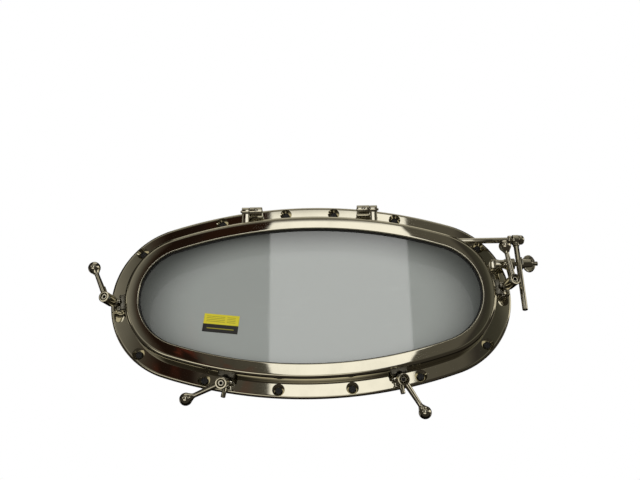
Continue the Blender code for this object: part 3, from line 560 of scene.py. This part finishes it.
def threaded(name, radius, start, end, pitch, matrix, material, sides=48):
    """A threaded rod: r(h, a) = R - d |2 frac(h / p - a / 2 pi) - 1|, closed by flat ends with a lead-in."""
    depth = 0.42 * pitch
    height = np.arange(start, end + pitch / 16, pitch / 8)[:, None]
    angle = np.linspace(0.0, 2 * np.pi, sides, endpoint=False)[None, :]
    phase = np.mod(height / pitch - angle / (2 * np.pi), 1.0)
    lead = np.clip((end - height) / pitch, 0.0, 1.0)
    profile = radius - depth * np.abs(2 * phase - 1) - 0.5 * depth * (1 - lead)
    ends = [np.zeros_like(angle), profile, np.zeros_like(angle)]
    heights = [height[:1] + 0 * angle, height + 0 * angle, height[-1:] + 0 * angle]
    reach, level = np.concatenate(ends), np.concatenate(heights)
    points = np.stack([reach * np.cos(angle), reach * np.sin(angle), level], axis=-1)
    return grid(name, placed(points, matrix), material)


def bead(name, path, radius, material):
    """A closed weld bead along a path: a tube whose radius ripples as r (1 + 0.12 sin 2 pi k s)."""
    path = np.asarray(path, dtype=float)
    ahead = np.roll(path, -1, axis=0) - np.roll(path, 1, axis=0)
    ahead /= np.linalg.norm(ahead, axis=1)[:, None]
    inward = path.mean(axis=0) - path
    side = np.cross(ahead, inward)
    side /= np.linalg.norm(side, axis=1)[:, None]
    other = np.cross(side, ahead)
    turn = np.linspace(0, 2 * np.pi, 14, endpoint=False)[:, None, None]
    loop = np.arange(len(path)) / len(path)
    swell = radius * (1 + 0.12 * np.sin(2 * np.pi * 26 * loop))[None, :, None]
    points = path[None] + swell * (np.cos(turn) * side[None] + np.sin(turn) * other[None])
    return grid(name, placed(points, UPRIGHT), material, wrap_rows=True)


def lever_profile():
    """Outline of the lever: a slim taper, a conical neck and a ball, in metres."""
    first = math.acos(4.5 / BALL)
    ball = [(BALL * math.sin(a), LEVER_LENGTH - BALL * math.cos(a)) for a in np.linspace(first, math.pi, 26)]
    shank = [(0, 3.0), (2.9, 3.0), (2.85, 8.0), (2.45, 24.0), (2.35, 29.0), (2.6, 30.2)]
    return np.array(shank + ball)[::-1] * MM


def ear_loop(radius):
    """Path of the weld round an ear, on the ring's wall: x = -7 - y^2 / 2R, on a rounded rectangle."""
    a = np.linspace(0, 2 * np.pi, 160, endpoint=False)
    y = 8.4 * np.sign(np.cos(a)) * np.abs(np.cos(a)) ** 0.28
    z = 7.4 + 2.5 * np.sign(np.sin(a)) * np.abs(np.sin(a)) ** 0.28
    return np.stack([-7.0 - y ** 2 / (2 * radius), y, z], axis=-1) * MM


for dog, where, side, lever_bearing, has_nose in DOGS:
    base, outward = dog_place(where, side)
    swing = base @ Matrix.Rotation(REST_LEAN, 4, "Y")
    seat = base @ Matrix.Rotation(SEAT_LEAN, 4, "Y")

    cheeks = block(f"dog_cheeks_{dog}", (-4.2 * MM, -6.4 * MM, -3.0 * MM), (8.2 * MM, 6.4 * MM, 0.2 * MM),
                   0.6 * MM, base, polished)
    round_top = turned(f"cheek_round_{dog}", rod_profile(-6.35, 6.35, 4.1, 0.5), base @ ALONG_Y, polished)
    parts = [round_top]
    if has_nose:
        nose = rod_profile(6.0, 16.0, 2.4, 0.7)
        nose_at = base @ Matrix.Translation((0, 0, -0.25 * MM)) @ ALONG_X
        parts.append(turned(f"cheek_nose_{dog}", nose, nose_at, polished))
    combine(cheeks, "UNION", *parts)
    slot = block(f"cheek_slot_{dog}", (-8 * MM, -3.4 * MM, -6 * MM), (5.4 * MM, 3.4 * MM, 8 * MM), 0, base,
                 polished)
    trim = block(f"cheek_trim_{dog}", (-9 * MM, -9 * MM, -9 * MM), (19 * MM, 9 * MM, -2.7 * MM), 0, base,
                 polished)
    bore = drill(f"cheek_bore_{dog}", 1.8 * MM, -9 * MM, 9 * MM, base @ ALONG_Y)
    combine(cheeks, "DIFFERENCE", slot, trim, bore)
    fit(cheeks, "frame", "polished_steel", f"dog_lug_{dog}")

    head = soften([(0, 7.6), (2.4, 7.6), (2.4, 6.7), (1.5, 6.7), (1.5, -6.7), (2.4, -6.7), (2.4, -7.6),
                   (0, -7.6)], 0.3) * MM
    fit(turned(f"dog_shaft_{dog}", head, base @ ALONG_Y, satin), "frame", "satin_steel", f"dog_pin_{dog}")

    eye = turned(f"swing_bolt_{dog}", rod_profile(-3.0, 3.0, 4.0, 0.5), swing @ ALONG_Y, satin)
    neck = drill(f"bolt_neck_{dog}", 2.7 * MM, 1 * MM, 9.2 * MM, swing)
    thread = threaded(f"bolt_thread_{dog}", 2.98 * MM, 9.0 * MM, 30.2 * MM, 1.0 * MM, swing, satin)
    combine(eye, "UNION", neck)
    combine(eye, "UNION", thread)
    combine(eye, "DIFFERENCE", drill(f"bolt_eye_{dog}", 1.8 * MM, -6 * MM, 6 * MM, swing @ ALONG_Y),
            hexagon(f"bolt_key_{dog}", 1.95 * MM, 23.5 * MM, 32 * MM, swing))
    fit(eye, f"dog_{dog}", "satin_steel", f"eye_bolt_{dog}")
    # Painted shade: a black rubber disc deep in the tip's socket, so that the socket looks dark.
    socket_shade = turned(f"socket_shade_disc_{dog}", rod_profile(23.7, 26.4, 1.55, 0.2), swing, black_rubber)
    fit(socket_shade, f"dog_{dog}", "rubber")

    ring = soften([(4.3, 13.7), (5.4, 13.7), (5.4, 14.9), (3.3, 14.9), (3.3, 13.7), (4.2, 13.7)], 0.2) * MM
    washer = turned(f"plain_washer_{dog}", ring[::-1], swing, satin)
    fit(washer, f"dog_washer_{dog}", "satin_steel", f"washer_{dog}")

    barrel = soften([(0, 31.2), (5.8, 31.2), (5.8, 26.0), (5.8, 20.0), (5.8, 15.2), (0, 15.2)], 0.5) * MM
    handle = turned(f"ball_handle_{dog}", barrel, swing, polished)
    lying = swing @ Matrix.Translation((0, 0, LEVER_HEIGHT * MM))
    lying = lying @ Matrix.Rotation(math.radians(lever_bearing) - outward, 4, "Z") @ ALONG_X
    lever = turned(f"lever_{dog}", lever_profile(), lying, polished)
    combine(handle, "UNION", lever)
    fin = block(f"lever_fin_{dog}", (0.6 * MM, -1.2 * MM, 3.9 * MM), (7.0 * MM, 1.2 * MM, 16.0 * MM),
                0.4 * MM, lying, polished)
    combine(handle, "UNION", fin)
    recess = soften([(0, 34.0), (4.4, 34.0), (4.3, 31.2), (4.1, 30.9), (4.1, 28.4), (3.3, 28.1), (3.3, 13.0),
                     (0, 13.0)], 0.15) * MM
    combine(handle, "DIFFERENCE", turned(f"handle_recess_{dog}", recess, swing, polished))
    fit(handle, f"dog_handle_{dog}", "polished_steel", f"handle_{dog}")

    # Painted shade: the polished ear is made in the dark steel, so that it looks dark low on the ring.
    ear = block(f"slotted_ear_{dog}", (-11.5 * MM, -8.5 * MM, 6.15 * MM), (-0.6 * MM, 8.5 * MM, 11.15 * MM),
                1.7 * MM, seat, weld_and_painted_shade)
    combine(ear, "DIFFERENCE", drill(f"ear_slot_{dog}", 3.4 * MM, 2 * MM, 15 * MM, seat))
    fit(ear, "door", "polished_steel", f"door_ear_{dog}")
    wall = 69.0 if side == "end" else 457.2
    path = placed(ear_loop(wall), UPRIGHT.inverted() @ base)
    fit(bead(f"ear_weld_{dog}", path, 0.55 * MM, weld_and_painted_shade), "door", "polished_steel")

# ---- Stay ---------------------------------------------------------------------------------------------
# A steel bar welded to the ring carries a collar, a knuckle and a domed cap. The knuckle's rod hangs past a
# stud screwed into the flange's bracket, where a washer and a wing nut clamp it.
arm_at = UPRIGHT @ Matrix.Translation((0, 57.5 * MM, 14.5 * MM)) @ ALONG_X
arm = soften([(0, 224.0), (2.3, 224.0), (2.3, 213.3), (3.0, 213.3), (3.0, 190.0), (3.0, 157.0), (0, 157.0)],
             0.25) * MM
fit(turned("stay_bar", arm, arm_at, polished), "door", "polished_steel", "stay_arm")
turn = np.linspace(0, 2 * np.pi, 150, endpoint=False)
root_y, root_z = 57.5 + 3.0 * np.cos(turn), 14.5 + 3.0 * np.sin(turn)
above = np.clip(root_z - 14.6, 0.0, 3.9)
wall_radius = 69.0 - (3.9 - np.sqrt(3.9 ** 2 - above ** 2))
root_x = 123.0 + np.sqrt(wall_radius ** 2 - root_y ** 2)
root = np.stack([root_x, root_y, root_z], axis=-1) * MM
fit(bead("stay_weld", root, 0.6 * MM, polished), "door", "polished_steel")

collar = soften([(4.0, 213.1), (4.8, 213.1), (4.8, 209.7), (3.3, 209.7), (3.3, 213.1), (3.9, 213.1)],
                0.6) * MM
fit(turned("stay_stop_ring", collar, arm_at, polished), "door", "polished_steel", "stay_collar")
cap_dome = [(5.0 * math.sin(a), 223.6 + 3.4 * math.cos(a)) for a in np.linspace(0, math.pi / 2, 16)]
cap_dome += [(5.0, 221.7), (4.7, 221.4), (2.65, 221.4), (2.65, 224.4), (0, 224.4)]
dome_cap = turned("stay_dome_cap", np.array(cap_dome) * MM, arm_at, polished)
fit(dome_cap, "door", "polished_steel", "stay_end_cap")

drop = (31.5 - 57.5, 16.9 - 14.5)
rod_tilt = math.atan2(drop[1], -drop[0])
rod_at = (UPRIGHT @ Matrix.Translation((217.6 * MM, 57.5 * MM, 14.5 * MM))
          @ Matrix.Rotation(math.pi / 2 - rod_tilt, 4, "X"))
body = soften([(4.0, 3.5), (5.4, 3.5), (5.4, 0.0), (5.4, -3.5), (2.65, -3.5), (2.65, 3.5), (3.9, 3.5)],
              0.7) * MM
knuckle = turned("stay_eye", body, rod_at @ ALONG_X, polished)
neck = soften([(0, 7.4), (3.5, 7.4), (3.5, 3.7), (0, 3.7)], 0.5) * MM
combine(knuckle, "UNION", turned("stay_eye_neck", neck, rod_at, polished))
fit(knuckle, "stay_hanger", "polished_steel", "stay_knuckle")
slide_rod = turned("stay_slide_rod", rod_profile(7.7, 81.0, 2.8, 0.6), rod_at, polished)
fit(slide_rod, "stay_hanger", "polished_steel", "stay_rod")

stud_at = UPRIGHT @ Matrix.Translation((0, 31.5 * MM, 11.3 * MM)) @ ALONG_X
boss = soften([(0, 214.4), (5.8, 214.4), (5.8, 205.0), (4.6, 203.0), (4.6, 194.0), (0, 194.0)], 0.8) * MM
bracket = turned("stay_boss", boss, stud_at, polished)
plinth = block("stay_plinth", (189.4 * MM, 26.4 * MM, 4.3 * MM), (198.6 * MM, 36.6 * MM, 13.2 * MM), 1.2 * MM,
               UPRIGHT, polished)
combine(bracket, "UNION", plinth)
combine(bracket, "DIFFERENCE", drill("stud_seat", 2.7 * MM, 205 * MM, 217 * MM, stud_at))
fit(bracket, "frame", "polished_steel", "stay_bracket")
stud = threaded("clamp_stud", 2.4 * MM, 205.4 * MM, 238.6 * MM, 0.8 * MM, stud_at, satin)
fit(stud, "frame", "satin_steel", "stay_stud")
plate = soften([(5.0, 220.8), (7.2, 220.8), (7.2, 222.1), (2.7, 222.1), (2.7, 220.8), (4.9, 220.8)], 0.3) * MM
fit(turned("clamp_washer", plate[::-1], stud_at, satin), "stay_clamp_washer", "satin_steel", "stay_washer")

hub = soften([(3.3, 232.9), (4.0, 232.9), (4.6, 231.4), (5.2, 223.4), (5.2, 222.4), (2.7, 222.4),
              (2.7, 232.9), (3.2, 232.9)], 0.4) * MM
wing_nut = turned("winged_nut", hub, stud_at, polished)
wing_at = UPRIGHT @ Matrix.Translation((229.5 * MM, 31.5 * MM, 11.3 * MM))
wing_at = wing_at @ Matrix.Diagonal((0.71, 1.0, 1.0, 1.0))
wings = soften([(0, 1.1), (4.0, 1.2), (8.6, 1.5), (9.6, 1.0), (9.6, -1.0), (8.6, -1.5), (4.0, -1.2),
                (0, -1.1)], 0.6) * MM
combine(wing_nut, "UNION", turned("nut_wings", wings, wing_at, polished))
combine(wing_nut, "DIFFERENCE", drill("nut_bore", 2.7 * MM, 218 * MM, 238 * MM, stud_at))
fit(wing_nut, "wing_nut", "polished_steel", "wing_nut")

# ---- Floor --------------------------------------------------------------------------------------------
# A plain pale studio floor of painted board, well below the porthole. It lights the pieces only softly and
# isn't mirrored in the steel.
material, graph = new_material("pale_floor")
grain = graph.node("ShaderNodeTexCoord", out="Object").noise(3.0, 4.0)
tone = grain.mix((0.62, 0.62, 0.61, 1.0), (0.66, 0.66, 0.65, 1.0))
close_material(graph, grain, 0.1 * MM, Base_Color=tone, Roughness=grain * 0.1 + 0.6)
bm = bmesh.new()
bmesh.ops.create_grid(bm, x_segments=1, y_segments=1, size=6.0)
bmesh.ops.translate(bm, vec=(0, 0, -0.62), verts=bm.verts)
mesh = bpy.data.meshes.new("floor")
bm.to_mesh(mesh)
bm.free()
floor = link("floor", mesh, material)
floor.visible_glossy = False

# ---- Studio -------------------------------------------------------------------------------------------
# The steel mirrors a world painted by direction. Ahead of the porthole stand one tall, narrow soft box and
# dark walls: warm grey on the left, brown low on the left, olive on the right. Two windows, a skylight, a
# bench and a side panel light the small pieces. Dull surfaces get an even sky, and the camera sees white.
world = bpy.data.worlds.new("studio")
bpy.context.scene.world = world
world.use_nodes = True
world.node_tree.nodes.clear()
graph = Wire(world.node_tree)
direction = graph.node("ShaderNodeTexCoord", out="Generated")
east, north, up = (graph.node("ShaderNodeSeparateXYZ", {0: direction}, out=axis) for axis in range(3))
ahead = (north * -1.0).maths("MAXIMUM", 0.02)
right, high = east / ahead, up / ahead
front = north.ramp(0.05, -0.15)
low_wall = ((-0.50, (0.24, 0.23, 0.20)), (-0.28, (0.36, 0.34, 0.30)), (-0.240, (0.13, 0.122, 0.105)),
            (-0.222, (0.06, 0.045, 0.035)), (-0.205, (0.018, 0.009, 0.006)), (-0.165, (0.020, 0.011, 0.008)),
            (-0.150, (0.085, 0.075, 0.062)), (-0.075, (0.10, 0.095, 0.08)), (0.110, (0.13, 0.12, 0.10)),
            (0.165, (0.13, 0.12, 0.10)), (0.180, (0.05, 0.045, 0.04)), (0.198, (0.06, 0.058, 0.045)),
            (0.212, (0.07, 0.067, 0.052)), (0.226, (0.175, 0.168, 0.138)), (0.28, (0.19, 0.182, 0.15)),
            (0.48, (0.06, 0.057, 0.047)))
high_wall = [(place, (0.027, 0.012, 0.007) if -0.16 < place < -0.07 else tone) for place, tone in low_wall]
panorama = [graph.node("ShaderNodeValToRGB", {"Fac": right + 0.5},
                       stops=[(place + 0.5, tone) for place, tone in wall])
            for wall in (low_wall, high_wall)]
streak = direction.stretched((30.0, 30.0, 5.0)).noise(1.0, 4.0, 0.6)
colour = high.ramp(0.33, 0.42).mix(*panorama)
red = streak.ramp(0.50, 0.62) * right.band(-0.21, -0.10, 0.02) * high.band(0.10, 0.36, 0.04) * 0.7
colour = red.mix(colour, (0.16, 0.035, 0.02, 1.0))
room = direction.stretched((5.0, 5.0, 2.0)).noise(1.0, 3.0)
room = room.mix((0.018, 0.015, 0.012, 1.0), (0.085, 0.076, 0.062, 1.0))
dim = north.ramp(0.12, -0.15).mix((0.006, 0.005, 0.004, 1.0), room)
near = right.band(-0.62, 0.52, 0.10) * high.band(-0.02, 0.72, 0.08) * north.ramp(-0.30, -0.45)
colour = near.mix(dim, colour)
ceiling = high.band(0.500, 0.575, 0.012) * right.band(-0.5, 0.5, 0.15) * front
colour = ceiling.mix(colour, (0.20, 0.19, 0.16, 1.0))
skylight = high.band(0.75, 1.15, 0.06) * right.band(-0.75, 0.75, 0.08) * front
colour = skylight.mix(colour, (0.60, 0.57, 0.48, 1.0))
left_window = right.band(-1.30, -0.86, 0.05) * high.band(0.10, 0.62, 0.05) * front
colour = left_window.mix(colour, (1.10, 1.05, 0.90, 1.0))
right_window = right.band(0.86, 1.25, 0.05) * high.band(0.10, 0.62, 0.05) * front
colour = right_window.mix(colour, (1.00, 0.95, 0.82, 1.0))
bench = right.band(-0.80, 0.14, 0.06) * high.band(-0.70, -0.27, 0.05) * front
colour = bench.mix(colour, (1.20, 1.14, 1.00, 1.0))
panel = east.ramp(0.84, 0.88) * up.band(0.08, 0.50, 0.03)
colour = panel.mix(colour, (1.40, 1.33, 1.16, 1.0))
overhead = up.ramp(0.88, 0.93) * east.maths("ABSOLUTE").ramp(0.40, 0.32)
colour = overhead.mix(colour, (0.80, 0.76, 0.66, 1.0))
side = ((right - 0.016) / 0.088).maths("ABSOLUTE")
fall = ((0.20 - high) / 0.31).maths("MAXIMUM", 0.0)
box = (side.maths("POWER", 8.0) + fall.maths("POWER", 4.0)).ramp(1.12, 0.88) * high.ramp(0.500, 0.480) * front
colour = box.mix(colour, (1.62, 1.60, 1.58, 1.0))
rear = north.band(0.30, 0.80, 0.06) * up.band(-0.30, 0.22, 0.04)
colour = rear.mix(colour, (0.26, 0.24, 0.21, 1.0))
colour = graph.node("ShaderNodeLightPath", out="Is Glossy Ray").mix((0.80, 0.80, 0.79, 1.0), colour)
colour = graph.node("ShaderNodeLightPath", out="Is Camera Ray").mix(colour, (1.0, 1.0, 1.0, 1.0))
background = graph.node("ShaderNodeBackground", {"Color": colour, "Strength": 1.0})
graph.node("ShaderNodeOutputWorld", {"Surface": background}, out=None)

key = bpy.data.lights.new("soft_key", "AREA")
key.shape = "RECTANGLE"
key.size, key.size_y, key.energy = 1.2, 0.8, 4.0
key_light = bpy.data.objects.new("soft_key", key)
key_light.matrix_world = Matrix.Translation((-0.3, -1.5, 1.1)) @ Matrix.Rotation(math.radians(54), 4, "X")
key_light.visible_glossy = False
bpy.context.scene.collection.objects.link(key_light)

# ---- Camera -------------------------------------------------------------------------------------------
# A lens of normal length, without depth of field. It looks up at the porthole from about twenty-four degrees
# below its axis.
to_drawing = Matrix(((1, 0, 0, 0), (0, 0, 1, 0), (0, -1, 0, 0), (0, 0, 0, 1)))
tilt = (Matrix.Rotation(math.radians(0.86), 4, "Z") @ Matrix.Rotation(math.radians(-24.03), 4, "X")
        @ Matrix.Rotation(math.radians(-0.44), 4, "Y"))
lens = bpy.data.cameras.new("camera")
lens.lens, lens.sensor_width = 47.8, 36.0
lens.clip_start, lens.clip_end = 0.01, 50.0
camera = bpy.data.objects.new("camera", lens)
camera.matrix_world = (Matrix.Translation((-0.0098, -0.0625, -0.8911)) @ tilt @ to_drawing).inverted()
bpy.context.scene.collection.objects.link(camera)
bpy.context.scene.camera = camera

bpy.context.scene.view_settings.view_transform = "Standard"
